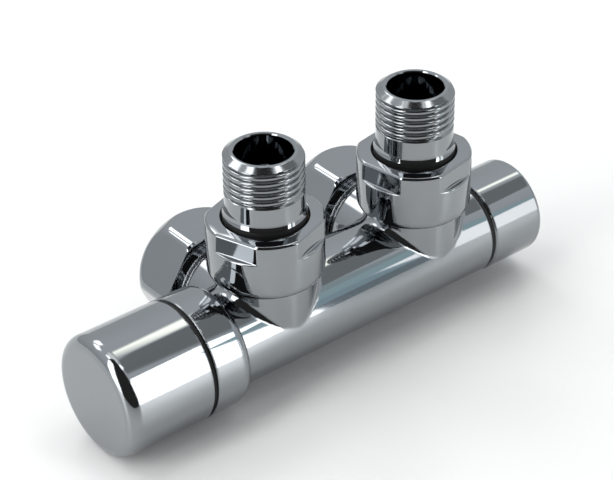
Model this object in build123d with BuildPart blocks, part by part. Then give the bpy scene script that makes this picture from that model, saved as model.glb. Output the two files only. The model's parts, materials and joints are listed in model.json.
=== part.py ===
from build123d import *
import os

os.makedirs("parts", exist_ok=True)

# Radiator valve multiblock, in millimetres. The origin lies midway between the two
# radiator tails, on the plane where their threads run out. +X runs along the tube to
# the lockshield end, +Y to the wall pipes and +Z up the tails. Heights are measured
# from the tube's centre line, and x, y and radii from the centre lines they belong to.

# Whole valve
tail_spacing = 50.0
tube_drop = 39.4
thread_gap = 0.1
sliding_gap = 0.2
edge_break = 0.4
tail_half = tail_spacing / 2

# Radiator thread, with the ring and the washer that set the size of the union below it
tail_thread_radius = 10.35
tail_ring_step = 0.5
tail_ring_radius = tail_thread_radius + tail_ring_step
washer_width = 1.05
washer_inner_radius = tail_ring_radius + thread_gap
washer_radius = washer_inner_radius + washer_width

# Body threads: wall ports, regulating neck and the spigots under the union nuts
port_thread_radius = 13.1
port_thread_length = 9.6
port_relief_depth = 1.1
port_relief_length = 1.2
neck_radius = 14.9
neck_length = 11.0
neck_relief_depth = 0.7
neck_relief_radius = neck_radius - neck_relief_depth
neck_relief_length = 1.6
spigot_radius = washer_radius
spigot_length = 8.0

# Body
spigot_shoulder = 1.2
tube_radius = max(port_thread_radius + thread_gap, spigot_radius + spigot_shoulder)
tube_right_reach = 18.0
tube_right_end = tail_half + tube_right_reach
left_cap_wall = 1.35
collar_radius = neck_radius + thread_gap + left_cap_wall
collar_reach = 28.0
collar_face = -tail_half - collar_reach
collar_length = 11.3
collar_round = 3.0
riser_shoulder = 0.6
riser_radius = spigot_radius + riser_shoulder
riser_rise = 2.2
riser_top = tube_radius + riser_rise
riser_root_round = 2.5
boss_radius = port_thread_radius
boss_reach = 5.5
boss_length = tube_radius + boss_reach
boss_root_round = 1.5

# Waterways
seat_place = 1.0
seat_inner = tail_half - seat_place
seat_thickness = 1.5
seat_lip_height = 0.5
seat_lip_width = 1.0
left_seat_radius = 4.8
right_seat_radius = 4.5
inner_chamber_radius = 6.5
middle_wall = 26.0
riser_bore_radius = 7.0
riser_floor_depth = 2.7
riser_floor = tube_radius - riser_floor_depth
riser_duct_radius = 3.1
riser_duct_shift = 3.7
pipe_radius = 7.6
pipe_stop_depth = 1.2
pipe_stop = tube_radius - pipe_stop_depth
pipe_socket_length = 10.5
port_cone_step = 2.2
port_cone_radius = pipe_radius + port_cone_step
port_duct_radius = 3.0
port_duct_shift = 4.5

# Regulating insert, left
neck_wall = 3.9
left_bore_radius = neck_radius - neck_wall
left_bore_depth = 17.0
left_chamber_step = 1.5
left_chamber_radius = left_bore_radius - left_chamber_step
left_insert_hex = 2 * left_bore_radius
left_insert_hex_length = 4.0
left_insert_reach = 26.0
left_insert_wall = 4.0
left_insert_nose_gap = 0.2
spring_bore_radius = 6.0
spring_space = 12.0
gland_hex_margin = 1.0
gland_hex = 2 * spring_bore_radius + gland_hex_margin
gland_hex_length = 3.0
gland_length = 6.0
gland_recess_radius = 4.0
gland_recess_depth = 1.9
spindle_radius = 2.5
pin_radius = 2.0
spindle_tip_radius = 1.5
spring_plate_radius = spring_bore_radius - 0.6
spring_plate_thickness = 1.2
clip_width = 1.4
clip_radius = pin_radius + clip_width
clip_thickness = 0.6
clip_groove_depth = 0.4
clip_opening = 2.4
spring_wire = 1.0
spring_coil_radius = spring_plate_radius - spring_wire
spring_turns = 5
disc_overlap = 1.4
disc_radius = left_seat_radius + disc_overlap
disc_thickness = 1.7
disc_seal_radius = disc_radius + 0.2
disc_seal_thickness = 1.5
disc_lift = 0.1

# Regulating cap, left
left_cap_length = 25.35
left_cap_gap = 1.05
left_cap_round = 3.2
left_cap_end_wall = 3.0
left_cap_boss_radius = 5.0
left_cap_boss_height = 1.2
seam_ring_radius = neck_radius + 0.8

# Lockshield insert, plug and cap, right
right_bore_radius = 9.0
right_bore_depth = 7.0
right_chamber_step = 1.0
right_chamber_radius = right_bore_radius - right_chamber_step
right_hex_margin = 1.0
right_insert_hex = 2 * right_bore_radius + right_hex_margin
right_insert_hex_length = 3.4
right_insert_reach = 10.0
right_neck_radius = right_bore_radius
right_neck_reach = 10.0
plug_radius = 4.9
plug_recess = 3.0
plug_overlap = 1.0
plug_head_radius = right_seat_radius + plug_overlap
plug_head_length = 2.2
plug_tip_length = 1.4
plug_seat_gap = 0.3
plug_key = 5.0
plug_key_depth = 5.0
plug_groove_place = 6.4
right_cap_radius = 13.4
right_cap_length = 16.95
right_cap_gap = 1.05
right_cap_skirt = 3.35
right_cap_skirt_radius = right_insert_hex / 3**0.5 + 0.33
right_cap_end_wall = 3.0
right_cap_round = 1.0
right_cap_ring_inset = 0.6

# O-rings
seal_wire = 1.4
small_seal_wire = 1.2
seal_groove_play = 0.2

# Radiator tail unions
tail_reach = 11.5
tail_thread_depth = 0.1
tail_point_chamfer = 1.1
tail_bore_radius = 7.5
tail_lip = 1.1
tail_lip_radius = tail_bore_radius + tail_lip
tail_key = 12.2
tail_flare_radius = tail_thread_radius + 0.45
tail_flare_height = 1.7
tail_ring_length = 4.1
tail_ring_show = 1.25
tail_ring_groove = 0.2
tail_flange_thickness = 2.5
gasket_thickness = 0.8
gasket_inner_radius = 8.2
washer_thickness = 0.8

# Union nuts
nut_wall = 3.15
nut_lip_thickness = 4.35
nut_bottom_round = 2.3
nut_top_chamfer = 0.35
nut_hole_chamfer = 0.4
nut_flat_depth = 1.35
nut_flat_length = 5.65
nut_seam = 0.2
left_nut_turn = 19.6
right_nut_turn = 10.5

# Rear compression nuts
rear_nut_wall = 1.8
rear_nut_seam = 2.7
rear_nut_chamfer = 1.1
rear_nut_hex_length = 7.2
rear_nut_rim = 2.7
rear_nut_end_length = 3.3
rear_nut_dome_bulge = 1.95
rear_nut_turn = 1.8
rear_nut_thread_play = 0.8
rear_nut_hole_gap = 0.3
clamp_ring_wall = 1.8
clamp_ring_length = 6.0
clamp_ring_cone = 1.9
clamp_ring_slot = 1.5
clamp_ring_gap = 0.2
cone_seal_wall = 1.85
cone_seal_length = 5.1

# Worked-out places
sides = [("left", -tail_half, -1, left_nut_turn), ("right", tail_half, 1, right_nut_turn)]
collar_back = collar_face + collar_length
neck_end = collar_face - neck_length
spigot_top = riser_top + spigot_length
port_thread_start = boss_length + port_relief_length
port_end = port_thread_start + port_thread_length
port_relief_radius = port_thread_radius - port_relief_depth
seat_outer = seat_inner + seat_thickness
left_bore_end = neck_end + left_bore_depth
right_bore_end = tube_right_end - right_bore_depth
socket_end = pipe_stop + pipe_socket_length

# Outlines along the tube are drawn below its centre line, so that the seam that a
# turned face has lies underneath, away from the risers and the rear ports.
tube_line = Axis((0, 0, -tube_drop), (1, 0, 0))
tube_plane = Plane(origin=(0, 0, -tube_drop), x_dir=(1, 0, 0), z_dir=(0, 1, 0))


def level(height):
    """Horizontal plane at a height above the tube's centre line."""
    return Plane.XY.offset(height - tube_drop)


def across_tube(x):
    """Plane across the tube at x, facing +X, with its own x along +Y."""
    return Plane(origin=(x, 0, -tube_drop), x_dir=(0, 1, 0), z_dir=(1, 0, 0))


def across_port(x, y):
    """Plane across a rear port at y, facing +Y, with its own y along +Z."""
    return Plane(origin=(x, y, -tube_drop), x_dir=(-1, 0, 0), z_dir=(0, 1, 0))


def riser_plane(x):
    """Upright plane through a riser: its own x is the radius, its y the height."""
    return Plane(origin=(x, 0, -tube_drop), x_dir=(1, 0, 0), z_dir=(0, -1, 0))


def riser_line(x):
    """Centre line of a riser."""
    return Axis((x, 0, -tube_drop), (0, 0, 1))


def port_plane(x):
    """Upright plane through a rear port: its own x runs along +Y, its y is the radius."""
    return Plane(origin=(x, 0, -tube_drop), x_dir=(0, 1, 0), z_dir=(1, 0, 0))


def port_line(x):
    """Centre line of a rear port."""
    return Axis((x, 0, -tube_drop), (0, 1, 0))


def turn(points, plane, line, mode=Mode.ADD):
    """Turn a closed outline about a centre line, as on a lathe."""
    with BuildSketch(plane) as outline:
        with BuildLine():
            Polyline(*points, close=True)
        make_face()
    revolve(outline.sketch, axis=line, mode=mode)


def turn_wire(centre, wire, plane, line):
    """Turn a round section about a centre line, for an O-ring."""
    with BuildSketch(plane) as section:
        with Locations(centre):
            Circle(wire / 2)
    revolve(section.sketch, axis=line)


def hexagon(across_flats, plane, length, mode=Mode.ADD):
    """Raise a hexagon of a given size across its flats from a plane."""
    with BuildSketch(plane) as outline:
        RegularPolygon(across_flats / 2, 6, major_radius=False)
    extrude(outline.sketch, amount=length, mode=mode)


# Valve body, one casting: tube, collar and neck, risers, spigots and rear ports
with BuildPart() as valve_body:
    turn(
        [
            (neck_end, 0),
            (neck_end, neck_radius - edge_break),
            (neck_end + edge_break, neck_radius),
            (collar_face - neck_relief_length, neck_radius),
            (collar_face - neck_relief_length, neck_relief_radius),
            (collar_face, neck_relief_radius),
            (collar_face, collar_radius),
            (collar_back, collar_radius),
            (collar_back, tube_radius),
            (tube_right_end - edge_break, tube_radius),
            (tube_right_end, tube_radius - edge_break),
            (tube_right_end, 0),
        ],
        tube_plane,
        tube_line,
    )
    collar_rims = valve_body.edges().filter_by(GeomType.CIRCLE)
    collar_rims = collar_rims.filter_by_position(Axis.X, collar_back - 0.01, collar_back + 0.01)
    collar_step = collar_radius - tube_radius
    fillet(collar_rims.sort_by(SortBy.RADIUS)[-1], min(collar_round, 0.96 * collar_step))

    turned_edges = valve_body.edges()
    with BuildSketch(level(0)):
        with Locations((-tail_half, 0), (tail_half, 0)):
            Circle(riser_radius)
    extrude(amount=riser_top)
    curved = valve_body.edges().filter_by(GeomType.BSPLINE)
    fillet([edge for edge in curved if edge not in turned_edges], riser_root_round)

    riser_edges = valve_body.edges()
    with BuildSketch(across_port(0, 0)):
        with Locations((-tail_half, 0), (tail_half, 0)):
            Circle(boss_radius)
    extrude(amount=boss_length)
    curved = valve_body.edges().filter_by(GeomType.BSPLINE)
    fillet([edge for edge in curved if edge not in riser_edges], boss_root_round)
    boss_rims = valve_body.edges().filter_by(GeomType.CIRCLE)
    chamfer(boss_rims.filter_by_position(Axis.Y, boss_length - 0.01, boss_length + 0.01), edge_break)

    for side, x, outward, nut_turn in sides:
        turn(
            [
                (0, riser_floor),
                (spigot_radius, riser_floor),
                (spigot_radius, spigot_top - edge_break),
                (spigot_radius - edge_break, spigot_top),
                (0, spigot_top),
            ],
            riser_plane(x),
            riser_line(x),
        )
        turn(
            [
                (pipe_stop, 0),
                (pipe_stop, port_relief_radius),
                (port_thread_start, port_relief_radius),
                (port_thread_start, port_thread_radius),
                (port_end - edge_break, port_thread_radius),
                (port_end, port_thread_radius - edge_break),
                (port_end, 0),
            ],
            port_plane(x),
            port_line(x),
        )

    turn(
        [
            (neck_end, 0),
            (neck_end, left_bore_radius),
            (left_bore_end, left_bore_radius),
            (left_bore_end, left_chamber_radius),
            (-seat_outer, left_chamber_radius),
            (-seat_outer, left_seat_radius + seat_lip_width),
            (-seat_outer - seat_lip_height, left_seat_radius + seat_lip_width / 2),
            (-seat_outer - seat_lip_height, left_seat_radius),
            (-seat_inner, left_seat_radius),
            (-seat_inner, inner_chamber_radius),
            (-middle_wall / 2, inner_chamber_radius),
            (-middle_wall / 2, 0),
        ],
        tube_plane,
        tube_line,
        Mode.SUBTRACT,
    )
    turn(
        [
            (tube_right_end, 0),
            (tube_right_end, right_bore_radius),
            (right_bore_end, right_bore_radius),
            (right_bore_end, right_chamber_radius),
            (seat_outer, right_chamber_radius),
            (seat_outer, right_seat_radius),
            (seat_inner, right_seat_radius),
            (seat_inner, inner_chamber_radius),
            (middle_wall / 2, inner_chamber_radius),
            (middle_wall / 2, 0),
        ],
        tube_plane,
        tube_line,
        Mode.SUBTRACT,
    )
    for side, x, outward, nut_turn in sides:
        with BuildSketch(level(riser_floor)):
            with Locations((x, 0)):
                Circle(riser_bore_radius)
        extrude(amount=spigot_top - riser_floor, mode=Mode.SUBTRACT)
        with BuildSketch(level(riser_floor)):
            with Locations((x + outward * riser_duct_shift, 0)):
                Circle(riser_duct_radius)
        extrude(amount=-riser_floor, mode=Mode.SUBTRACT)
        turn(
            [
                (pipe_stop, 0),
                (pipe_stop, pipe_radius),
                (socket_end, pipe_radius),
                (port_end, port_cone_radius),
                (port_end, 0),
            ],
            port_plane(x),
            port_line(x),
            Mode.SUBTRACT,
        )
        with BuildSketch(across_port(x - outward * port_duct_shift, 0)):
            Circle(port_duct_radius)
        extrude(amount=pipe_stop, mode=Mode.SUBTRACT)

valve_body.part.label = "valve_body"
export_step(valve_body.part, "parts/valve_body.step")


# Regulating insert: threaded into the neck, with its seal, nose and spring chamber
left_thread_radius = left_bore_radius - thread_gap
left_insert_end = neck_end - left_insert_hex_length
left_insert_tip = neck_end + left_insert_reach
left_nose_radius = left_chamber_radius - left_insert_nose_gap
spring_bore_end = left_insert_tip - left_insert_wall
left_nose_start = left_bore_end - left_insert_nose_gap
seal_groove_width = seal_wire + seal_groove_play
left_groove_end = left_nose_start - edge_break
left_groove_start = left_groove_end - seal_groove_width
left_groove_radius = left_bore_radius - seal_wire - seal_groove_play
with BuildPart() as left_insert:
    turn(
        [
            (neck_end, 0),
            (neck_end, left_thread_radius),
            (left_groove_start, left_thread_radius),
            (left_groove_start, left_groove_radius),
            (left_groove_end, left_groove_radius),
            (left_groove_end, left_thread_radius),
            (left_nose_start, left_thread_radius),
            (left_nose_start, left_nose_radius),
            (left_insert_tip - edge_break, left_nose_radius),
            (left_insert_tip, left_nose_radius - edge_break),
            (left_insert_tip, 0),
        ],
        tube_plane,
        tube_line,
    )
    hexagon(left_insert_hex, across_tube(left_insert_end), left_insert_hex_length)
    with BuildSketch(across_tube(left_insert_end)):
        Circle(spring_bore_radius)
    extrude(amount=spring_bore_end - left_insert_end, mode=Mode.SUBTRACT)
    with BuildSketch(across_tube(spring_bore_end)):
        Circle(spindle_radius + thread_gap)
    extrude(amount=left_insert_wall, mode=Mode.SUBTRACT)

left_insert.part.label = "left_insert"
export_step(left_insert.part, "parts/left_insert.step")

with BuildPart() as left_insert_seal:
    turn_wire(
        ((left_groove_start + left_groove_end) / 2, left_groove_radius + seal_groove_play / 2 + seal_wire / 2),
        seal_wire,
        tube_plane,
        tube_line,
    )

left_insert_seal.part.label = "left_insert_seal"
export_step(left_insert_seal.part, "parts/left_insert_seal.step")


# Gland: screwed into the insert's outer end, and seals the pin
gland_thread_radius = spring_bore_radius - thread_gap
gland_end = left_insert_end - gland_hex_length
gland_tip = left_insert_end + gland_length
with BuildPart() as left_gland:
    hexagon(gland_hex, across_tube(gland_end), gland_hex_length)
    with BuildSketch(across_tube(left_insert_end)):
        Circle(gland_thread_radius)
    extrude(amount=gland_length)
    with BuildSketch(across_tube(gland_end)):
        Circle(pin_radius + thread_gap)
    extrude(amount=gland_tip - gland_end, mode=Mode.SUBTRACT)
    with BuildSketch(across_tube(gland_tip)):
        Circle(gland_recess_radius)
    extrude(amount=-gland_recess_depth, mode=Mode.SUBTRACT)

left_gland.part.label = "left_gland"
export_step(left_gland.part, "parts/left_gland.step")

gland_seal_wire = gland_recess_radius - pin_radius - 2 * thread_gap
with BuildPart() as left_gland_seal:
    turn_wire(
        (gland_tip - gland_recess_depth / 2, (gland_recess_radius + pin_radius) / 2),
        gland_seal_wire,
        tube_plane,
        tube_line,
    )

left_gland_seal.part.label = "left_gland_seal"
export_step(left_gland_seal.part, "parts/left_gland_seal.step")


# Spindle: pin, clip groove, shaft and the tip that carries the disc
left_cap_end = collar_face - left_cap_gap - left_cap_length
cap_inside = left_cap_end + left_cap_end_wall
pin_end = cap_inside + left_cap_boss_height + thread_gap
spindle_shoulder = spring_bore_end - spring_space
seat_lip = -seat_outer - seat_lip_height
disc_seal_face = seat_lip - disc_lift
disc_face = disc_seal_face - disc_seal_thickness
disc_back = disc_face - disc_thickness
spindle_tip_end = disc_seal_face - edge_break
spindle_tip_start = disc_back - thread_gap
plate_back = spindle_shoulder - spring_plate_thickness
clip_front = plate_back - thread_gap / 2
clip_back = clip_front - clip_thickness
clip_groove_radius = pin_radius - clip_groove_depth
with BuildPart() as left_spindle:
    turn(
        [
            (pin_end, 0),
            (pin_end, pin_radius - edge_break),
            (pin_end + edge_break, pin_radius),
            (clip_back - thread_gap, pin_radius),
            (clip_back - thread_gap, clip_groove_radius),
            (clip_front + thread_gap / 2, clip_groove_radius),
            (clip_front + thread_gap / 2, pin_radius),
            (spindle_shoulder, pin_radius),
            (spindle_shoulder, spindle_radius),
            (spindle_tip_start, spindle_radius),
            (spindle_tip_start, spindle_tip_radius),
            (spindle_tip_end, spindle_tip_radius),
            (spindle_tip_end, 0),
        ],
        tube_plane,
        tube_line,
    )

left_spindle.part.label = "left_spindle"
export_step(left_spindle.part, "parts/left_spindle.step")


# Spring plate against the spindle's shoulder, held by the open spring clip
with BuildPart() as left_spring_plate:
    with BuildSketch(across_tube(plate_back)):
        Circle(spring_plate_radius)
        Circle(pin_radius + thread_gap, mode=Mode.SUBTRACT)
    extrude(amount=spring_plate_thickness)

left_spring_plate.part.label = "left_spring_plate"
export_step(left_spring_plate.part, "parts/left_spring_plate.step")

with BuildPart() as left_spring_clip:
    with BuildSketch(across_tube(clip_back)):
        Circle(clip_radius)
        Circle(clip_groove_radius + thread_gap, mode=Mode.SUBTRACT)
        with Locations((0, clip_radius / 2)):
            Rectangle(clip_opening, clip_radius, mode=Mode.SUBTRACT)
    extrude(amount=clip_thickness)

left_spring_clip.part.label = "left_spring_clip"
export_step(left_spring_clip.part, "parts/left_spring_clip.step")


# Spring: presses the plate outward from the insert's end wall
spring_start = spindle_shoulder + spring_wire / 2 + thread_gap
spring_length = spring_bore_end - spindle_shoulder - spring_wire - 2 * thread_gap
with BuildPart() as left_spring:
    with BuildLine() as coil:
        Helix(
            pitch=spring_length / spring_turns,
            height=spring_length,
            radius=spring_coil_radius,
            center=(spring_start, 0, -tube_drop),
            direction=(1, 0, 0),
        )
    with BuildSketch(Plane(origin=coil.line @ 0, z_dir=coil.line % 0)):
        Circle(spring_wire / 2)
    sweep(path=coil.line, is_frenet=True)

left_spring.part.label = "left_spring"
export_step(left_spring.part, "parts/left_spring.step")


# Valve disc and its rubber face, which closes on the seat's lip
with BuildPart() as left_disc:
    with BuildSketch(across_tube(disc_back)):
        Circle(disc_radius)
        Circle(spindle_tip_radius + thread_gap, mode=Mode.SUBTRACT)
    extrude(amount=disc_thickness)

left_disc.part.label = "left_disc"
export_step(left_disc.part, "parts/left_disc.step")

with BuildPart() as left_disc_seal:
    with BuildSketch(across_tube(disc_face)):
        Circle(disc_seal_radius)
        Circle(spindle_tip_radius + thread_gap, mode=Mode.SUBTRACT)
    extrude(amount=disc_seal_thickness)

left_disc_seal.part.label = "left_disc_seal"
export_step(left_disc_seal.part, "parts/left_disc_seal.step")


# Regulating cap: screws on the neck and presses the pin with its inner boss
left_cap_open_end = collar_face - left_cap_gap
with BuildPart() as left_cap:
    turn(
        [
            (left_cap_end, 0),
            (left_cap_end, collar_radius),
            (left_cap_open_end - edge_break, collar_radius),
            (left_cap_open_end, collar_radius - edge_break),
            (left_cap_open_end, neck_radius + thread_gap),
            (cap_inside, neck_radius + thread_gap),
            (cap_inside, left_cap_boss_radius),
            (cap_inside + left_cap_boss_height, left_cap_boss_radius - edge_break),
            (cap_inside + left_cap_boss_height, 0),
        ],
        tube_plane,
        tube_line,
    )
    fillet(left_cap.edges().group_by(Axis.X)[0], left_cap_round)

left_cap.part.label = "left_cap"
export_step(left_cap.part, "parts/left_cap.step")

with BuildPart() as left_seam_ring:
    with BuildSketch(across_tube(collar_face)):
        Circle(seam_ring_radius)
        Circle(neck_relief_radius + thread_gap, mode=Mode.SUBTRACT)
    extrude(amount=thread_gap - left_cap_gap)

left_seam_ring.part.label = "left_seam_ring"
export_step(left_seam_ring.part, "parts/left_seam_ring.step")


# Lockshield insert: threaded into the tube's end, with its hexagon outside
right_thread_radius = right_bore_radius - thread_gap
right_insert_tip = tube_right_end - right_insert_reach
right_nose_radius = right_chamber_radius - sliding_gap
right_nose_start = right_bore_end + sliding_gap
right_groove_start = right_nose_start + edge_break
right_groove_end = right_groove_start + seal_groove_width
right_groove_radius = right_bore_radius - seal_wire - seal_groove_play
right_insert_end = tube_right_end + right_neck_reach
with BuildPart() as right_insert:
    turn(
        [
            (right_insert_tip, 0),
            (right_insert_tip, right_nose_radius),
            (right_nose_start, right_nose_radius),
            (right_nose_start, right_thread_radius),
            (right_groove_start, right_thread_radius),
            (right_groove_start, right_groove_radius),
            (right_groove_end, right_groove_radius),
            (right_groove_end, right_thread_radius),
            (tube_right_end, right_thread_radius),
            (tube_right_end, right_neck_radius),
            (right_insert_end - edge_break, right_neck_radius),
            (right_insert_end, right_neck_radius - edge_break),
            (right_insert_end, 0),
        ],
        tube_plane,
        tube_line,
    )
    hexagon(right_insert_hex, across_tube(tube_right_end), right_insert_hex_length)
    with BuildSketch(across_tube(right_insert_tip)):
        Circle(plug_radius + thread_gap)
    extrude(amount=right_insert_end - right_insert_tip, mode=Mode.SUBTRACT)

right_insert.part.label = "right_insert"
export_step(right_insert.part, "parts/right_insert.step")

with BuildPart() as right_insert_seal:
    turn_wire(
        ((right_groove_start + right_groove_end) / 2, right_groove_radius + seal_groove_play / 2 + seal_wire / 2),
        seal_wire,
        tube_plane,
        tube_line,
    )

right_insert_seal.part.label = "right_insert_seal"
export_step(right_insert_seal.part, "parts/right_insert_seal.step")


# Lockshield plug: cone and head on the seat, threaded stem, key socket outside
plug_end = right_insert_end - plug_recess
plug_head_start = seat_outer + plug_seat_gap
plug_head_end = plug_head_start + plug_head_length
plug_tip = plug_head_start - plug_tip_length
plug_groove_start = plug_head_end + plug_groove_place
small_groove_width = small_seal_wire + seal_groove_play
plug_groove_radius = plug_radius - small_seal_wire - seal_groove_play / 2
with BuildPart() as right_plug:
    turn(
        [
            (plug_tip, 0),
            (plug_tip, right_seat_radius - plug_seat_gap - plug_tip_length / 2),
            (plug_head_start, right_seat_radius - plug_seat_gap),
            (plug_head_start, plug_head_radius),
            (plug_head_end, plug_head_radius),
            (plug_head_end, plug_radius),
            (plug_groove_start, plug_radius),
            (plug_groove_start, plug_groove_radius),
            (plug_groove_start + small_groove_width, plug_groove_radius),
            (plug_groove_start + small_groove_width, plug_radius),
            (plug_end - edge_break, plug_radius),
            (plug_end, plug_radius - edge_break),
            (plug_end, 0),
        ],
        tube_plane,
        tube_line,
    )
    hexagon(plug_key, across_tube(plug_end), -plug_key_depth, Mode.SUBTRACT)

right_plug.part.label = "right_plug"
export_step(right_plug.part, "parts/right_plug.step")

with BuildPart() as right_plug_seal:
    turn_wire(
        (plug_groove_start + small_groove_width / 2, plug_radius - small_seal_wire / 2),
        small_seal_wire,
        tube_plane,
        tube_line,
    )

right_plug_seal.part.label = "right_plug_seal"
export_step(right_plug_seal.part, "parts/right_plug_seal.step")


# Lockshield cap, and the ring that closes its seam
right_cap_start = tube_right_end + right_cap_gap
right_cap_end = right_cap_start + right_cap_length
right_skirt_end = right_cap_start + right_cap_skirt
with BuildPart() as right_cap:
    turn(
        [
            (right_cap_start, right_cap_skirt_radius),
            (right_cap_start, right_cap_radius - edge_break),
            (right_cap_start + edge_break, right_cap_radius),
            (right_cap_end, right_cap_radius),
            (right_cap_end, 0),
            (right_cap_end - right_cap_end_wall, 0),
            (right_cap_end - right_cap_end_wall, right_neck_radius + thread_gap),
            (right_skirt_end, right_neck_radius + thread_gap),
            (right_skirt_end, right_cap_skirt_radius),
        ],
        tube_plane,
        tube_line,
    )
    fillet(right_cap.edges().group_by(Axis.X)[-1], right_cap_round)

right_cap.part.label = "right_cap"
export_step(right_cap.part, "parts/right_cap.step")

with BuildPart() as right_cap_ring:
    with BuildSketch(across_tube(right_cap_start)):
        Circle(right_cap_radius - right_cap_ring_inset)
        Circle(right_cap_skirt_radius, mode=Mode.SUBTRACT)
    extrude(amount=thread_gap - right_cap_gap)

right_cap_ring.part.label = "right_cap_ring"
export_step(right_cap_ring.part, "parts/right_cap_ring.step")


# Radiator tail unions and rear compression joints, one set at each end
gasket_top = spigot_top + gasket_thickness
flange_top = gasket_top + tail_flange_thickness
nut_bottom = riser_top + nut_seam
nut_lip_under = flange_top + washer_thickness + 2 * thread_gap
nut_top = nut_lip_under + nut_lip_thickness
nut_flats_bottom = nut_top - nut_flat_length
nut_bore_radius = spigot_radius + thread_gap
nut_hole_radius = tail_ring_radius + sliding_gap
nut_radius = nut_bore_radius + nut_wall
nut_flats = 2 * (nut_radius - nut_flat_depth)
nut_bottom_radius = nut_radius - nut_bottom_round
washer_top = nut_lip_under - thread_gap
tail_top = tube_drop + tail_reach
tail_thread_end = tube_drop
tail_barrel_radius = tail_thread_radius - tail_thread_depth
tail_flange_radius = spigot_radius - thread_gap
tail_flare_bottom = nut_top + tail_ring_show
tail_flare_top = tail_flare_bottom + tail_flare_height
tail_ring_top = tail_flare_bottom - thread_gap
tail_ring_bottom = tail_ring_top - tail_ring_length
tail_ring_seat_radius = tail_barrel_radius - tail_ring_groove
tail_key_top = tail_ring_top - 2 * sliding_gap
tail_key_end = tail_key_top - (tail_bore_radius - tail_key / 2)
nut_thread_radius = port_thread_radius + thread_gap
nut_hole = pipe_radius + rear_nut_hole_gap
rear_nut_hex = 2 * (nut_thread_radius + rear_nut_wall)
rear_nut_start = boss_length + rear_nut_seam
rear_nut_dome_start = rear_nut_start + rear_nut_hex_length
rear_nut_thread_end = port_end + rear_nut_thread_play
rear_nut_end_radius = nut_hole + rear_nut_rim
corner_radius = rear_nut_hex / 3**0.5
clamp_ring_inner = pipe_radius + sliding_gap
clamp_ring_outer = clamp_ring_inner + clamp_ring_wall
clamp_ring_start = rear_nut_thread_end - thread_gap
clamp_ring_end = clamp_ring_start + clamp_ring_length
clamp_ring_shoulder = clamp_ring_end - clamp_ring_cone
rear_nut_end = clamp_ring_end + rear_nut_end_length
for side, x, outward, nut_turn in sides:
    with BuildPart() as tail:
        with BuildSketch(riser_plane(x)) as tail_section:
            with BuildLine():
                Polyline(
                    (tail_flare_radius, tail_flare_bottom),
                    (tail_ring_seat_radius, tail_flare_bottom),
                    (tail_ring_seat_radius, tail_ring_bottom - thread_gap),
                    (tail_flare_radius, tail_ring_bottom - thread_gap),
                    (tail_flare_radius, flange_top),
                    (tail_flange_radius, flange_top),
                    (tail_flange_radius, gasket_top),
                    (0, gasket_top),
                    (0, tail_top),
                    (tail_lip_radius, tail_top),
                    (tail_barrel_radius, tail_top - tail_point_chamfer),
                    (tail_thread_radius, tail_top - tail_point_chamfer),
                    (tail_thread_radius, tail_thread_end),
                    (tail_barrel_radius, tail_thread_end),
                    (tail_barrel_radius, tail_flare_top),
                )
                TangentArc((tail_barrel_radius, tail_flare_top), (tail_flare_radius, tail_flare_bottom), tangent=(0, -1))
            make_face()
        revolve(axis=riser_line(x))
        with BuildSketch(level(tail_top)):
            with Locations((x, 0)):
                Circle(tail_bore_radius)
        extrude(amount=tail_key_top - tail_top, mode=Mode.SUBTRACT)
        turn(
            [
                (0, tail_key_top),
                (tail_bore_radius, tail_key_top),
                (tail_key / 2, tail_key_end),
                (0, tail_key_end),
            ],
            riser_plane(x),
            riser_line(x),
            Mode.SUBTRACT,
        )
        with BuildSketch(level(tail_key_top)):
            with Locations((x, 0)):
                RegularPolygon(tail_key / 2, 6, major_radius=False)
        extrude(amount=gasket_top - tail_key_top, mode=Mode.SUBTRACT)

    tail.part.label = f"{side}_tail"
    export_step(tail.part, f"parts/{side}_tail.step")

    with BuildPart() as tail_ring:
        with BuildSketch(level(tail_ring_bottom)):
            with Locations((x, 0)):
                Circle(tail_ring_radius)
                Circle(tail_ring_seat_radius + thread_gap, mode=Mode.SUBTRACT)
        extrude(amount=tail_ring_length)

    tail_ring.part.label = f"{side}_tail_ring"
    export_step(tail_ring.part, f"parts/{side}_tail_ring.step")

    with BuildPart() as union_washer:
        with BuildSketch(level(washer_top)):
            with Locations((x, 0)):
                Circle(washer_radius)
                Circle(washer_inner_radius, mode=Mode.SUBTRACT)
        extrude(amount=-washer_thickness)

    union_washer.part.label = f"{side}_union_washer"
    export_step(union_washer.part, f"parts/{side}_union_washer.step")

    with BuildPart() as tail_gasket:
        with BuildSketch(level(spigot_top)):
            with Locations((x, 0)):
                Circle(spigot_radius - edge_break)
                Circle(gasket_inner_radius, mode=Mode.SUBTRACT)
        extrude(amount=gasket_thickness)

    tail_gasket.part.label = f"{side}_tail_gasket"
    export_step(tail_gasket.part, f"parts/{side}_tail_gasket.step")

    # Union nut: round, with four flats cut round its upper part
    with BuildPart() as union_nut:
        with BuildSketch(riser_plane(x)):
            with BuildLine():
                Polyline(
                    (nut_bottom_radius, nut_bottom),
                    (nut_bore_radius, nut_bottom),
                    (nut_bore_radius, nut_lip_under),
                    (nut_hole_radius, nut_lip_under),
                    (nut_hole_radius, nut_top - nut_hole_chamfer),
                    (nut_hole_radius + nut_hole_chamfer, nut_top),
                    (nut_radius - nut_top_chamfer, nut_top),
                    (nut_radius, nut_top - nut_top_chamfer),
                    (nut_radius, nut_bottom + nut_bottom_round),
                )
                TangentArc(
                    (nut_radius, nut_bottom + nut_bottom_round),
                    (nut_bottom_radius, nut_bottom),
                    tangent=(0, -1),
                )
            make_face()
        revolve(axis=riser_line(x))
        with BuildSketch(level(nut_flats_bottom)):
            with Locations((x, 0)):
                Circle(nut_radius + 1)
                Rectangle(nut_flats, nut_flats, rotation=nut_turn, mode=Mode.SUBTRACT)
        extrude(amount=nut_top - nut_flats_bottom, mode=Mode.SUBTRACT)

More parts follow.
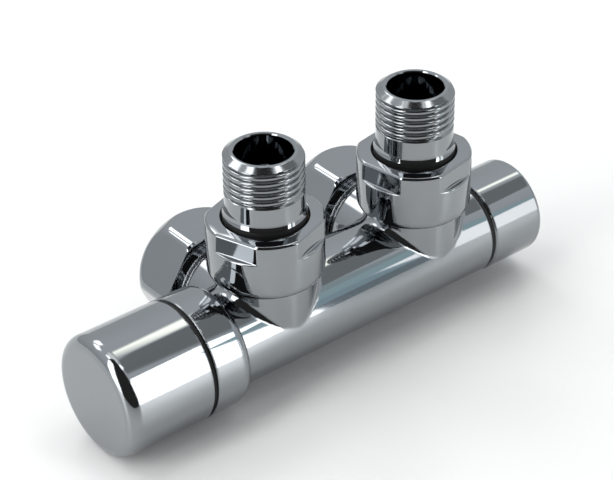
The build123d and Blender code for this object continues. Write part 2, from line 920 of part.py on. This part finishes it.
    union_nut.part.label = f"{side}_union_nut"
    export_step(union_nut.part, f"parts/{side}_union_nut.step")

    # Rear nut: hexagon turned to a dome towards the pipe
    with BuildPart() as rear_nut:
        with BuildSketch(across_port(x, rear_nut_start)):
            RegularPolygon(rear_nut_hex / 2, 6, major_radius=False, rotation=rear_nut_turn)
        extrude(amount=rear_nut_end - rear_nut_start)
        with BuildSketch(port_plane(x)) as nut_section:
            with BuildLine():
                Polyline(
                    (rear_nut_end, rear_nut_end_radius),
                    (rear_nut_end, nut_hole),
                    (clamp_ring_end + clamp_ring_gap, nut_hole),
                    (clamp_ring_shoulder + clamp_ring_gap, clamp_ring_outer + clamp_ring_gap),
                    (rear_nut_thread_end, clamp_ring_outer + clamp_ring_gap),
                    (rear_nut_thread_end, nut_thread_radius),
                    (rear_nut_start, nut_thread_radius),
                    (rear_nut_start, corner_radius - rear_nut_chamfer),
                    (rear_nut_start + rear_nut_chamfer / 2, corner_radius),
                    (rear_nut_dome_start, corner_radius),
                )
                SagittaArc(
                    (rear_nut_dome_start, corner_radius),
                    (rear_nut_end, rear_nut_end_radius),
                    rear_nut_dome_bulge,
                )
            make_face()
        revolve(axis=port_line(x), mode=Mode.INTERSECT)

    rear_nut.part.label = f"{side}_rear_nut"
    export_step(rear_nut.part, f"parts/{side}_rear_nut.step")

    # Clamp ring, slit lengthways, that grips the pipe inside the nut
    with BuildPart() as clamp_ring:
        turn(
            [
                (clamp_ring_start, clamp_ring_inner),
                (clamp_ring_start, clamp_ring_outer),
                (clamp_ring_shoulder, clamp_ring_outer),
                (clamp_ring_end, nut_hole + thread_gap),
                (clamp_ring_end, clamp_ring_inner),
            ],
            port_plane(x),
            port_line(x),
        )
        with BuildSketch(across_port(x, clamp_ring_start)):
            with Locations((0, clamp_ring_outer / 2)):
                Rectangle(clamp_ring_slot, clamp_ring_outer)
        extrude(amount=clamp_ring_length, mode=Mode.SUBTRACT)

    clamp_ring.part.label = f"{side}_clamp_ring"
    export_step(clamp_ring.part, f"parts/{side}_clamp_ring.step")

    # Cone seal between the pipe and the port's mouth
    cone_slope = (port_cone_radius - pipe_radius) / (port_end - socket_end)
    cone_seal_outer = clamp_ring_inner + cone_seal_wall
    cone_seal_start = port_end - (port_cone_radius - thread_gap - cone_seal_outer) / cone_slope
    cone_seal_back = cone_seal_start - cone_seal_length + edge_break
    with BuildPart() as cone_seal:
        turn(
            [
                (cone_seal_back, clamp_ring_inner),
                (cone_seal_back, cone_seal_outer - cone_slope * (cone_seal_length - edge_break)),
                (cone_seal_start, cone_seal_outer),
                (cone_seal_start + edge_break, cone_seal_outer),
                (cone_seal_start + edge_break, clamp_ring_inner),
            ],
            port_plane(x),
            port_line(x),
        )

    cone_seal.part.label = f"{side}_cone_seal"
    export_step(cone_seal.part, f"parts/{side}_cone_seal.step")
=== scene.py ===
import json
from math import cos, pi, radians, sin, sqrt, tau

import bmesh
import bpy
from mathutils import Matrix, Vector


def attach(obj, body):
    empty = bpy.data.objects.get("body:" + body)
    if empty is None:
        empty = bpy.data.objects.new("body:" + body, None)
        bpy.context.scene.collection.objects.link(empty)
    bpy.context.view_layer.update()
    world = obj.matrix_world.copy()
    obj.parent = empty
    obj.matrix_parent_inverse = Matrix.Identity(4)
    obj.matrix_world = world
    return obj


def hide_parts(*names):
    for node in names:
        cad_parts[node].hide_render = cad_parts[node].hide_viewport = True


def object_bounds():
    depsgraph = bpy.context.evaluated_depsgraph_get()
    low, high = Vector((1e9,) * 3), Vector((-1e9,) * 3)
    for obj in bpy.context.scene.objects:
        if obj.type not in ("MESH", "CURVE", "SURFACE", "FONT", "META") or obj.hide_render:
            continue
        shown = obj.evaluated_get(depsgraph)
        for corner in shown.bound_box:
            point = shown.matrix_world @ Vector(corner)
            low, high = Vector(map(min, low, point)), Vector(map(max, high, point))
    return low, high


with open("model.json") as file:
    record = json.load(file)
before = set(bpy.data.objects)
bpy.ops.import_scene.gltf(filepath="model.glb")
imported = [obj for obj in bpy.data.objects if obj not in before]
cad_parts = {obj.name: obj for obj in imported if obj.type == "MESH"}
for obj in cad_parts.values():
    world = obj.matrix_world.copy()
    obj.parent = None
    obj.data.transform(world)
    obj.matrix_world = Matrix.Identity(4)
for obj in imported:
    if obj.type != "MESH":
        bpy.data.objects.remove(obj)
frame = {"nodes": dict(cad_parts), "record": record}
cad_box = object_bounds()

# Sizes are in metres, in the frame of the solids: +Z up the radiator tails, +X along
# the tube to the lockshield cap, +Y to the wall pipes.
MM = 0.001

# Finishes: the chrome's colour, its worn edges, and the range of a metal's tint
CHROME_COLOUR = (0.288, 0.303, 0.317)
WORN_EDGE = 0.7 * MM
TINT_LOW = 0.97
TINT_HIGH = 1.03
LEAST_ROUGHNESS = 0.005
METAL_LUMP = 0.2 * MM
SOFT_LUMP = 0.1 * MM

# Radiator tails: heights from the frame's origin, which is the thread's lower end
TAIL_X = 25 * MM
TAIL_SEGMENTS = 192
TAIL_SHARP = 40
TAIL_TOP = 11.5 * MM
THREAD_PITCH = 1.814 * MM
THREAD_STEPS = 20
THREAD_CREST = 10.33 * MM
THREAD_DEPTH = 0.80 * MM
THREAD_FORM = 2.4
RELIEF_DEPTH = 0.65 * MM
RELIEF_RISE = 0.55 * MM
RELIEF_HEIGHT = 1.0 * MM
RELIEF_CLIMB = 3
POINT_LIP = 8.6 * MM
POINT_HEIGHT = 1.1 * MM
BARREL_RADIUS = 10.25 * MM
BORE_RADIUS = 7.5 * MM
BORE_CHAMFER = 0.25 * MM
BORE_END = -6.6 * MM
KEY_FLAT = 6.1 * MM
FLARE_TOP = -4.4 * MM
FLARE_BOTTOM = -6.1 * MM
FLARE_RADIUS = 10.8 * MM
FLARE_STEPS = 9
RING_SEAT = 10.05 * MM
RING_BOTTOM = -10.4 * MM
FLANGE_RADIUS = 11.9 * MM
FLANGE_TOP = -12.7 * MM
TAIL_FOOT = -15.2 * MM
THREAD_START = 0.732
SPARE_TURNS = 3
WELD = 1e-7

# Round and hexagon nuts: steps in a turn and in a worn corner, the share of an edge that a
# corner may take, and the angle that stays sharp
NUT_SEGMENTS = 384
CORNER_STEPS = 4
CORNER_REACH = 0.48
NUT_SHARP = 32

# Union nuts: heights from the frame's origin, four flats over the round wall
NUT_RADIUS = 15.25 * MM
NUT_BOTTOM = -23.8 * MM
NUT_ROUND = 2.3 * MM
NUT_BORE = 12.1 * MM
NUT_LIP = -11.7 * MM
NUT_HOLE = 11.05 * MM
NUT_HOLE_CHAMFER = 0.4 * MM
NUT_TOP = -7.35 * MM
NUT_FALL = 0.35 * MM
NUT_CHAMFER = 0.5 * MM
NUT_FLAT = 13.9 * MM
NUT_LEDGE = -13.0 * MM
LEDGE_SLOPE = 0.03 * MM
LEDGE_OUTER_ROUND = 0.45 * MM
LEDGE_INNER_ROUND = 0.3 * MM
NUT_EDGE_ROUND = 0.2 * MM
HOLE_EDGE_ROUND = 0.1 * MM
NUT_SOFT = 0.3 * MM
LEFT_NUT_TURN = 19.6
RIGHT_NUT_TURN = 10.5

# Rear nuts: distances along +Y from the frame's origin, a hexagon under a dome
TUBE_Z = -39.4 * MM
HEX_FLAT = 15.0 * MM
HEX_CORNER = 17.32 * MM
HEX_TURN = 28.2
HEX_FACING = 0.5
HEX_START = 21.4 * MM
HEX_CHAMFER = 1.1 * MM
HEX_ROWS = 12
DOME_START = 28.6 * MM
DOME_END = 39.5 * MM
DOME_END_RADIUS = 10.6 * MM
DOME_BULGE = 1.95 * MM
DOME_LEAD = 3 * MM
DOME_ROWS = 28
RIDGE_SOFT = 1.8 * MM
DOME_SOFT = 0.5 * MM
REAR_BORE = 13.2 * MM
REAR_BORE_END = 30.3 * MM
REAR_INNER = 9.8 * MM
REAR_INNER_END = 34.5 * MM
REAR_HOLE = 7.9 * MM
REAR_HOLE_START = 36.4 * MM
REAR_LIP_CHAMFER = 0.3 * MM

# Studio cards: distance from the origin, degrees between their rows, and the elevation
# of their feet, just over the floor
CARD_DISTANCE = 1.6
CARD_STEP = 4.0
SOFT_CARD_STEP = 1.0
CARD_FOOT = -1.9

# World: its colour, its strength at the horizon and above, and the height of the change
SKY_COLOUR = (0.93, 0.97, 1.0)
SKY_LOW = 0.68
SKY_HIGH = 0.98
SKY_HEIGHT = 0.75

# Floor, which lies under the body
FLOOR_Z = cad_box[0][2]
FLOOR_HALF = 3
FLOOR_COLOUR = (0.94, 0.94, 0.93)
FLOOR_ROUGHNESS = 0.30

# Camera: millimetres in the lens, metres in its place, degrees in its turns
SENSOR_WIDTH = 36
FOCAL_LENGTH = 126.2
CAMERA_PLACE = (-0.302515, -0.360490, 0.284479)
CAMERA_HEADING = -38.913
CAMERA_TILT = 56.603
CAMERA_ROLL = -0.5355


def new_material(name):
    """A material with an empty node tree."""
    material = bpy.data.materials.new(name)
    material.use_nodes = True
    material.node_tree.nodes.clear()
    return material


def node(tree, kind, x, y, **values):
    """Add a node and set its properties or its sockets' values."""
    made = tree.nodes.new(kind)
    made.location = (x, y)
    for key, value in values.items():
        if hasattr(made, key):
            setattr(made, key, value)
        else:
            made.inputs[key.replace("_", " ")].default_value = value
    return made


def metal(name, colour, roughness, spread, grain, wave, bump, edge=0.0):
    """Polished metal: reflection softened by fine grain over a slow wave in its surface.

    edge is the radius to which its sharp edges are worn.
    """
    material = new_material(name)
    tree = material.node_tree
    place = node(tree, "ShaderNodeTexCoord", -1000, 0)
    fine = node(tree, "ShaderNodeTexNoise", -780, 120, Scale=grain, Detail=5.0)
    slow = node(tree, "ShaderNodeTexNoise", -780, -180, Scale=wave, Detail=2.0)
    limits = node(tree, "ShaderNodeMapRange", -560, 160)
    limits.inputs["To Min"].default_value = max(roughness - spread, LEAST_ROUGHNESS)
    limits.inputs["To Max"].default_value = roughness + spread
    tint = node(tree, "ShaderNodeMix", -330, 320, data_type="RGBA")
    tint.inputs[6].default_value = (*[c * TINT_LOW for c in colour], 1)
    tint.inputs[7].default_value = (*[min(c * TINT_HIGH, 1) for c in colour], 1)
    lump = node(tree, "ShaderNodeBump", -330, -160, Strength=bump, Distance=METAL_LUMP)
    shader = node(tree, "ShaderNodeBsdfPrincipled", 0, 100, Metallic=1.0)
    out = node(tree, "ShaderNodeOutputMaterial", 300, 100)
    link = tree.links.new
    for texture in (fine, slow):
        link(place.outputs["Object"], texture.inputs["Vector"])
    link(fine.outputs["Fac"], limits.inputs["Value"])
    link(limits.outputs["Result"], shader.inputs["Roughness"])
    link(slow.outputs["Fac"], tint.inputs[0])
    link(tint.outputs[2], shader.inputs["Base Color"])
    link(slow.outputs["Fac"], lump.inputs["Height"])
    link(lump.outputs["Normal"], shader.inputs["Normal"])
    if edge:
        worn = node(tree, "ShaderNodeBevel", -560, -380, samples=6, Radius=edge)
        link(worn.outputs["Normal"], lump.inputs["Normal"])
    link(shader.outputs["BSDF"], out.inputs["Surface"])
    return material


def soft(name, dark, light, roughness, grain, bump):
    """Rubber or pressed fibre: two tones of one colour with a fine grain."""
    material = new_material(name)
    tree = material.node_tree
    place = node(tree, "ShaderNodeTexCoord", -900, 0)
    fine = node(tree, "ShaderNodeTexNoise", -680, 0, Scale=grain, Detail=6.0)
    ramp = node(tree, "ShaderNodeValToRGB", -440, 150)
    ramp.color_ramp.elements[0].color = (*dark, 1)
    ramp.color_ramp.elements[1].color = (*light, 1)
    lump = node(tree, "ShaderNodeBump", -300, -160, Strength=bump, Distance=SOFT_LUMP)
    shader = node(tree, "ShaderNodeBsdfPrincipled", 0, 100, Roughness=roughness)
    out = node(tree, "ShaderNodeOutputMaterial", 300, 100)
    link = tree.links.new
    link(place.outputs["Object"], fine.inputs["Vector"])
    link(fine.outputs["Fac"], ramp.inputs["Fac"])
    link(ramp.outputs["Color"], shader.inputs["Base Color"])
    link(fine.outputs["Fac"], lump.inputs["Height"])
    link(lump.outputs["Normal"], shader.inputs["Normal"])
    link(shader.outputs["BSDF"], out.inputs["Surface"])
    return material


chrome = metal("chrome", CHROME_COLOUR, 0.045, 0.015, 2500, 60, 0.02)
edge_chrome = metal("edge_chrome", CHROME_COLOUR, 0.045, 0.015, 2500, 60, 0.02, WORN_EDGE)
thread_chrome = metal("thread_chrome", (0.265, 0.278, 0.290), 0.12, 0.04, 4000, 300, 0.05)
brass = metal("brass", (0.72, 0.53, 0.24), 0.22, 0.06, 3000, 200, 0.05)
steel = metal("steel", (0.50, 0.50, 0.51), 0.25, 0.06, 3000, 200, 0.05)
seal_rubber = soft(
    "seal_rubber", (0.010, 0.010, 0.011), (0.022, 0.022, 0.023), 0.55, 4000, 0.10
)
# Black ring at the tail's foot: a real dark ring, with its colour pushed down to near black
# as painted shade of the shaded gap around it
black_ring = soft(
    "black_ring", (0.002, 0.002, 0.002), (0.005, 0.005, 0.005), 0.60, 4000, 0.08
)
gasket_fibre = soft(
    "gasket_fibre", (0.16, 0.03, 0.02), (0.28, 0.07, 0.045), 0.80, 3000, 0.20
)
finishes = {
    "chrome": edge_chrome,
    "brass": brass,
    "steel": steel,
    "seal_rubber": seal_rubber,
    "black_ring": black_ring,
    "gasket_fibre": gasket_fibre,
}

slots = {part["node"]: part["material_slot"] for part in frame["record"]["subparts"]}
for name, solid in frame["nodes"].items():
    for material_slot in solid.material_slots:
        material_slot.material = finishes[slots[name]]


def add_object(name, data):
    """Put a mesh or a camera's lens in the scene."""
    made = bpy.data.objects.new(name, data)
    bpy.context.scene.collection.objects.link(made)
    return made


def metal_mesh(name, points, faces, sharp, weld=False):
    """A smooth mesh with outward faces, whose edges over sharp degrees stay sharp."""
    mesh = bpy.data.meshes.new(name)
    mesh.from_pydata(points, [], faces)
    clean = bmesh.new()
    clean.from_mesh(mesh)
    if weld:
        bmesh.ops.remove_doubles(clean, verts=clean.verts, dist=WELD)
        bmesh.ops.dissolve_degenerate(clean, edges=clean.edges, dist=WELD)
    bmesh.ops.recalc_face_normals(clean, faces=clean.faces)
    clean.to_mesh(mesh)
    clean.free()
    mesh.shade_smooth()
    mesh.set_sharp_from_angle(angle=radians(sharp))
    mesh.materials.append(chrome)
    return mesh


def thread_radius(phase, height):
    """Radius of the thread's surface: a rounded groove over the relief at its lower end."""
    groove = (0.5 - 0.5 * cos(tau * phase)) ** THREAD_FORM
    radius = THREAD_CREST - THREAD_DEPTH * groove
    point = POINT_LIP + (TAIL_TOP - height) * (BARREL_RADIUS - POINT_LIP) / POINT_HEIGHT
    fall = min(height / RELIEF_RISE, 1)
    climb = max(height - RELIEF_HEIGHT, 0) * RELIEF_CLIMB
    relief = BARREL_RADIUS - RELIEF_DEPTH * fall + climb
    return min(radius, point, relief)


def threaded_tail(name, x):
    """A radiator tail with a right-hand thread, its bore, key socket, flare and flange.

    THREAD_START is the share of a turn, from +X, at which the thread leaves its lower end.
    """
    count = TAIL_SEGMENTS
    points, faces = [], []

    def key_radius(angle):
        within = (angle + pi / 6) % (pi / 3) - pi / 6
        return KEY_FLAT / cos(within)

    def add_ring(radius, height):
        first = len(points)
        for i in range(count):
            angle = tau * i / count
            r = radius(angle) if callable(radius) else radius
            z = height(angle) if callable(height) else height
            points.append((x + r * cos(angle), r * sin(angle), z))
        return [first + i for i in range(count)]

    def bridge(lower, upper):
        for i in range(count):
            j = (i + 1) % count
            faces.append((lower[i], lower[j], upper[j], upper[i]))

    flare = []
    for step in range(1, FLARE_STEPS):
        share = step / FLARE_STEPS
        radius = BARREL_RADIUS + (FLARE_RADIUS - BARREL_RADIUS) * share * share
        flare.append((radius, FLARE_TOP + (FLARE_BOTTOM - FLARE_TOP) * share))
    outline = [
        (FLANGE_RADIUS, TAIL_FOOT),
        (FLANGE_RADIUS, FLANGE_TOP),
        (FLARE_RADIUS, FLANGE_TOP),
        (FLARE_RADIUS, RING_BOTTOM),
        (RING_SEAT, RING_BOTTOM),
        (RING_SEAT, FLARE_BOTTOM),
        (FLARE_RADIUS, FLARE_BOTTOM),
        *reversed(flare),
        (BARREL_RADIUS, FLARE_TOP),
        (BARREL_RADIUS, 0.0),
    ]
    rings = [add_ring(key_radius, TAIL_FOOT)]
    for radius, height in outline:
        rings.append(add_ring(radius, height))
    for lower, upper in zip(rings, rings[1:]):
        bridge(lower, upper)
    # The bore falls at 45 degrees into the key socket's hexagon
    inner = [
        add_ring(POINT_LIP, TAIL_TOP),
        add_ring(BORE_RADIUS + BORE_CHAMFER, TAIL_TOP),
        add_ring(BORE_RADIUS, TAIL_TOP - BORE_CHAMFER),
        add_ring(BORE_RADIUS, BORE_END),
        add_ring(key_radius, lambda angle: BORE_END - BORE_RADIUS + key_radius(angle)),
        rings[0],
    ]
    for lower, upper in zip(inner, inner[1:]):
        bridge(lower, upper)

    turns = int(TAIL_TOP / THREAD_PITCH) + SPARE_TURNS
    strip = []
    for step in range(count * turns + 1):
        angle = tau * (round(THREAD_START * count) + step) / count
        row = []
        for part in range(THREAD_STEPS):
            phase = part / THREAD_STEPS
            height = THREAD_PITCH * (step / count + phase - 1)
            height = min(max(height, 0.0), TAIL_TOP)
            radius = thread_radius(phase, height)
            row.append(len(points))
            points.append((x + radius * cos(angle), radius * sin(angle), height))
        strip.append(row)
    for step in range(count * (turns - 1)):
        for part in range(THREAD_STEPS):
            last = part == THREAD_STEPS - 1
            low_next = strip[step + count][0] if last else strip[step][part + 1]
            high_next = strip[step + 1 + count][0] if last else strip[step + 1][part + 1]
            faces.append((strip[step][part], strip[step + 1][part], high_next, low_next))

    mesh = metal_mesh(name, points, faces, TAIL_SHARP, weld=True)
    mesh.materials.append(thread_chrome)
    for face in mesh.polygons:
        across = (face.center.x - x) ** 2 + face.center.y ** 2
        if face.center.z > 0 and across > POINT_LIP ** 2:
            face.material_index = 1
    return add_object(name, mesh)


for side, x in (("left", -TAIL_X), ("right", TAIL_X)):
    tail = threaded_tail(f"{side}_threaded_tail", x)
    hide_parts(f"{side}_tail")
    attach(tail, "root")


def soft_min(a, b, width):
    """The smaller of two distances, blended where they differ by less than width."""
    near = max(width - abs(a - b), 0) / width
    return min(a, b) - near * near * width / 4


def rounded(corners):
    """Points of a closed outline whose corners, each (u, v, round), are turned into arcs."""
    points = []
    for i, (u, v, size) in enumerate(corners):
        if not size:
            points.append((u, v))
            continue
        ends = []
        for other in (corners[i - 1], corners[(i + 1) % len(corners)]):
            length = sqrt((other[0] - u) ** 2 + (other[1] - v) ** 2)
            reach = min(size, CORNER_REACH * length)
            ends.append(((other[0] - u) / length, (other[1] - v) / length, reach))
        start, end = ends
        across = start[0] * end[0] + start[1] * end[1]
        weight = sqrt(max((1 - across) / 2, 0.0))
        for step in range(CORNER_STEPS + 1):
            t = step / CORNER_STEPS
            a, b, c = (1 - t) ** 2, 2 * t * (1 - t) * weight, t * t
            whole = a + b + c
            points.append((
                u + (a * start[0] * start[2] + c * end[0] * end[2]) / whole,
                v + (a * start[1] * start[2] + c * end[1] * end[2]) / whole,
            ))
    return points


def turned_piece(name, outline, place):
    """A closed solid round an axis: outline(angle) gives its (radius, height) points."""
    count = NUT_SEGMENTS
    points, faces = [], []
    for i in range(count):
        angle = tau * i / count
        row = outline(angle)
        points.extend(place(radius, angle, height) for radius, height in row)
    size = len(row)
    for i in range(count):
        j = (i + 1) % count
        for k in range(size):
            m = (k + 1) % size
            faces.append((i * size + k, j * size + k, j * size + m, i * size + m))
    return add_object(name, metal_mesh(name, points, faces, NUT_SHARP))


def union_nut(name, x, turned):
    """A round nut with four flats at its top and worn edges."""
    def outline(angle):
        within = (angle - radians(turned) + pi / 4) % (pi / 2) - pi / 4
        flat = soft_min(NUT_RADIUS, NUT_FLAT / cos(within), NUT_SOFT)
        edge = NUT_TOP - NUT_FALL - NUT_CHAMFER
        return rounded([
            (NUT_BORE, NUT_BOTTOM, 0),
            (NUT_RADIUS, NUT_BOTTOM, NUT_ROUND),
            (NUT_RADIUS, NUT_LEDGE - LEDGE_SLOPE, LEDGE_OUTER_ROUND),
            (flat, NUT_LEDGE + LEDGE_SLOPE, LEDGE_INNER_ROUND),
            (flat, edge, NUT_EDGE_ROUND),
            (flat - NUT_CHAMFER, edge + NUT_CHAMFER, NUT_EDGE_ROUND),
            (NUT_HOLE + NUT_HOLE_CHAMFER, NUT_TOP, NUT_EDGE_ROUND),
            (NUT_HOLE, NUT_TOP - NUT_HOLE_CHAMFER, HOLE_EDGE_ROUND),
            (NUT_HOLE, NUT_LIP, 0),
            (NUT_BORE, NUT_LIP, 0),
        ])

    def place(radius, angle, height):
        return (x + radius * cos(angle), radius * sin(angle), height)

    return turned_piece(name, outline, place)


def rear_nut(name, x):
    """A hexagon nut with soft ridges under a dome, open at both ends."""
    width = HEX_CORNER - DOME_END_RADIUS
    length = DOME_END - DOME_START
    chord = sqrt(width * width + length * length)
    arc = chord * chord / (8 * DOME_BULGE) + DOME_BULGE / 2
    inward = arc - DOME_BULGE
    middle_r = (HEX_CORNER + DOME_END_RADIUS) / 2 - inward * length / chord
    middle_y = (DOME_START + DOME_END) / 2 - inward * width / chord
    rows = [HEX_START + (DOME_START - HEX_START) * k / HEX_ROWS for k in range(HEX_ROWS)]
    for k in range(DOME_ROWS + 1):
        rows.append(DOME_START + length * sin(pi / 2 * k / DOME_ROWS))

    def outline(angle):
        turned = angle - radians(HEX_TURN)
        facing = [cos(turned - tau * k / 6) for k in range(6)]
        walls = sorted(HEX_FLAT / share for share in facing if share > HEX_FACING)
        hexagon = walls[0]
        if len(walls) > 1:
            hexagon = soft_min(walls[0], walls[1], RIDGE_SOFT)
        points = [(REAR_BORE, HEX_START)]
        for y in rows:
            wall = min(hexagon, HEX_CORNER - HEX_CHAMFER + (y - HEX_START))
            if y > DOME_START - DOME_LEAD:
                dome = HEX_CORNER
                if y > DOME_START:
                    dome = middle_r + sqrt(max(arc * arc - (y - middle_y) ** 2, 0))
                wall = soft_min(wall, dome, DOME_SOFT)
            points.append((wall, y))
        return points + [
            (REAR_HOLE + REAR_LIP_CHAMFER, DOME_END),
            (REAR_HOLE, DOME_END - REAR_LIP_CHAMFER),
            (REAR_HOLE, REAR_HOLE_START),
            (REAR_INNER, REAR_INNER_END),
            (REAR_INNER, REAR_BORE_END),
            (REAR_BORE, REAR_BORE_END),
        ]

    def place(radius, angle, height):
        return (x + radius * cos(angle), height, TUBE_Z + radius * sin(angle))

    return turned_piece(name, outline, place)


for side, x, turned in (("left", -TAIL_X, LEFT_NUT_TURN), ("right", TAIL_X, RIGHT_NUT_TURN)):
    nut = union_nut(f"{side}_worn_union_nut", x, turned)
    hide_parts(f"{side}_union_nut")
    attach(nut, f"{side}_union_body")
    nut = rear_nut(f"{side}_worn_rear_nut", x)
    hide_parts(f"{side}_rear_nut")
    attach(nut, f"{side}_rear_body")


def glowing(name, colour, strength):
    """A card's light, which fades out where the mesh's cover does."""
    material = new_material(name)
    tree = material.node_tree
    cover = node(tree, "ShaderNodeAttribute", -400, 200, attribute_name="cover")
    clear = node(tree, "ShaderNodeBsdfTransparent", -200, 100)
    glow = node(tree, "ShaderNodeEmission", -200, -100, Color=(*colour, 1), Strength=strength)
    mix = node(tree, "ShaderNodeMixShader", 0, 0)
    out = node(tree, "ShaderNodeOutputMaterial", 200, 0)
    link = tree.links.new
    link(cover.outputs["Fac"], mix.inputs[0])
    link(clear.outputs["BSDF"], mix.inputs[1])
    link(glow.outputs["Emission"], mix.inputs[2])
    link(mix.outputs["Shader"], out.inputs["Surface"])
    return material


def card(name, azimuths, elevations, colour, strength, fade=(0, 0)):
    """A studio card round the object, placed by compass angles from +Y towards +X.

    fade is the width in degrees of its soft sides, and of its soft top and bottom.
    """
    step = SOFT_CARD_STEP if any(fade) else CARD_STEP
    columns = max(2, int(abs(azimuths[1] - azimuths[0]) / step) + 1)
    rows = max(2, int(abs(elevations[1] - elevations[0]) / step) + 1)
    points, faces, cover = [], [], []
    for row in range(rows + 1):
        el = radians(elevations[0] + (elevations[1] - elevations[0]) * row / rows)
        for column in range(columns + 1):
            az = radians(azimuths[0] + (azimuths[1] - azimuths[0]) * column / columns)
            share = 1.0
            for place, count, span, width in (
                (column, columns, azimuths, fade[0]),
                (row, rows, elevations, fade[1]),
            ):
                if width:
                    inside = min(place, count - place) / count * (span[1] - span[0]) / width
                    inside = min(inside, 1)
                    share *= inside * inside * (3 - 2 * inside)
            cover.append(share)
            points.append((
                CARD_DISTANCE * cos(el) * sin(az),
                CARD_DISTANCE * cos(el) * cos(az),
                CARD_DISTANCE * sin(el),
            ))
    for row in range(rows):
        for column in range(columns):
            first = row * (columns + 1) + column
            faces.append((first, first + 1, first + columns + 2, first + columns + 1))
    mesh = bpy.data.meshes.new(name)
    mesh.from_pydata(points, [], faces)
    mesh.attributes.new("cover", "FLOAT", "POINT").data.foreach_set("value", cover)
    mesh.materials.append(glowing(name, colour, strength))
    made = add_object(name, mesh)
    made.visible_camera = False


# Studio: a dark side behind the camera between two soft boxes, blue and grey cards beside
# the right one, bright ones at the rear and above, and a pale world elsewhere
card("dark_side", (158, 260), (CARD_FOOT, 62), (1.0, 0.96, 0.94), 0.05)
card("dark_side_top", (156, 284), (62, 90), (1.0, 0.96, 0.94), 0.05)
card("left_box", (-100, -78), (CARD_FOOT, 60), (1, 1, 1), 5.0)
card("left_top_box", (-76, -54), (62, 72), (1, 1, 1), 5.0)
card("right_box", (149.5, 158), (CARD_FOOT, 38), (1, 1, 1), 5.0)
card("right_box_wing", (144, 149.5), (31, 41), (1, 1, 1), 5.0)
card("right_top_box", (130, 154), (61, 72), (1, 1, 1), 5.0)
card("blue_low", (144.5, 149.5), (CARD_FOOT, 10), (0.80, 0.95, 1.05), 0.45)
card("blue_middle", (144.5, 149.5), (10, 20), (0.74, 1.0, 1.12), 0.72)
card("blue_high", (136, 149.5), (20, 31), (0.72, 0.96, 1.02), 0.90)
card("blue_top", (136, 144), (31, 41), (0.80, 0.96, 1.0), 0.75)
card("right_strip", (137, 144.5), (CARD_FOOT, 20), (1, 1, 1), 2.6)
card("grey_roof", (88, 144), (41, 61), (0.95, 1.0, 1.03), 0.41, (5, 0))
card("grey_roof_top", (92, 126), (61, 66), (0.95, 1.0, 1.03), 0.42)
card("warm_strip", (54, 91), (51, 68), (1.0, 1.0, 0.88), 3.6, (10, 6))
card("warm_foot", (71, 83), (45, 54), (1.0, 1.0, 0.9), 3.2, (4, 3))
card("window", (-46, -17), (35, 55), (1, 1, 1), 4.5, (4, 4))
card("window_far", (-12, 26), (35, 55), (1, 1, 1), 4.5, (6, 4))
card("ceiling", (-76, 156), (74, 90), (1, 1, 1), 1.8)

# World: paler towards the top
world = bpy.data.worlds.new("studio")
bpy.context.scene.world = world
world.use_nodes = True
sky = world.node_tree
place = node(sky, "ShaderNodeTexCoord", -700, 0)
parts = node(sky, "ShaderNodeSeparateXYZ", -500, 0)
level = node(sky, "ShaderNodeMapRange", -300, 0)
level.inputs["To Min"].default_value = SKY_LOW
level.inputs["To Max"].default_value = SKY_HIGH
level.inputs["From Max"].default_value = SKY_HEIGHT
sky.links.new(place.outputs["Generated"], parts.inputs["Vector"])
sky.links.new(parts.outputs["Z"], level.inputs["Value"])
sky.links.new(level.outputs["Result"], sky.nodes["Background"].inputs["Strength"])
sky.nodes["Background"].inputs["Color"].default_value = (*SKY_COLOUR, 1)

# Floor: a pale satin sheet under the body
floor_mesh = bpy.data.meshes.new("floor")
floor_corners = [(-1, -1), (1, -1), (1, 1), (-1, 1)]
floor_points = [(FLOOR_HALF * u, FLOOR_HALF * v, FLOOR_Z) for u, v in floor_corners]
floor_mesh.from_pydata(floor_points, [], [(0, 1, 2, 3)])
floor = add_object("floor", floor_mesh)
paper = new_material("floor_paper")
paper_shader = node(
    paper.node_tree, "ShaderNodeBsdfPrincipled", 0, 0, Roughness=FLOOR_ROUGHNESS
)
paper_shader.inputs["Base Color"].default_value = (*FLOOR_COLOUR, 1)
paper_out = node(paper.node_tree, "ShaderNodeOutputMaterial", 200, 0)
paper.node_tree.links.new(paper_shader.outputs["BSDF"], paper_out.inputs["Surface"])
floor_mesh.materials.append(paper)

# Camera: from the front left and above, as the photograph was taken
lens = bpy.data.cameras.new("camera")
lens.sensor_width = SENSOR_WIDTH
lens.lens = FOCAL_LENGTH
camera = add_object("camera", lens)
heading = Matrix.Rotation(radians(CAMERA_HEADING), 4, "Z")
tilt = Matrix.Rotation(radians(CAMERA_TILT), 4, "X")
roll = Matrix.Rotation(radians(CAMERA_ROLL), 4, "Z")
camera.matrix_world = Matrix.Translation(CAMERA_PLACE) @ heading @ tilt @ roll
bpy.context.scene.camera = camera

bpy.context.scene.view_settings.view_transform = "Standard"
